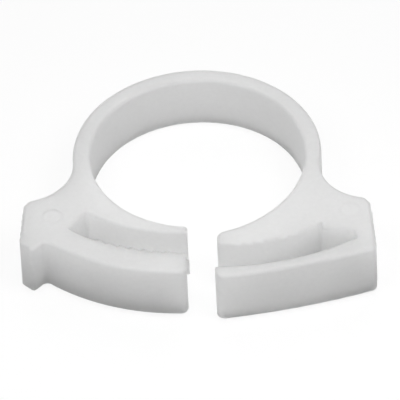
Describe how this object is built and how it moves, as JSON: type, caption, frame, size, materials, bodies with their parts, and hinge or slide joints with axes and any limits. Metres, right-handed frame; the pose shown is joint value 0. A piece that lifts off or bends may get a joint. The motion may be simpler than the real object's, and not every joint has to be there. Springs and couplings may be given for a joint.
{
  "type": "ratchet cable clip",
  "caption": "One-piece nylon ratchet clip: a C-shaped band round a cable bundle or hose, with plier lugs and toothed fork jaws that interlock when squeezed shut.",
  "frame": {"origin": "middle of the outline's box, on the side face that the clip lies on", "axes": "+Z along the band's axis, the way the cables run; the open mouth looks towards -Y; +X points to the jaw with the square heel lug, -X to the jaw with the pointed hook lug"},
  "size_m": [0.0605, 0.0526, 0.01],
  "materials": {
    "natural_nylon": "natural milky nylon, satin, slightly translucent"
  },
  "bodies": {
    "root": {"clip_body": "natural_nylon"}
  },
  "joints": []
}
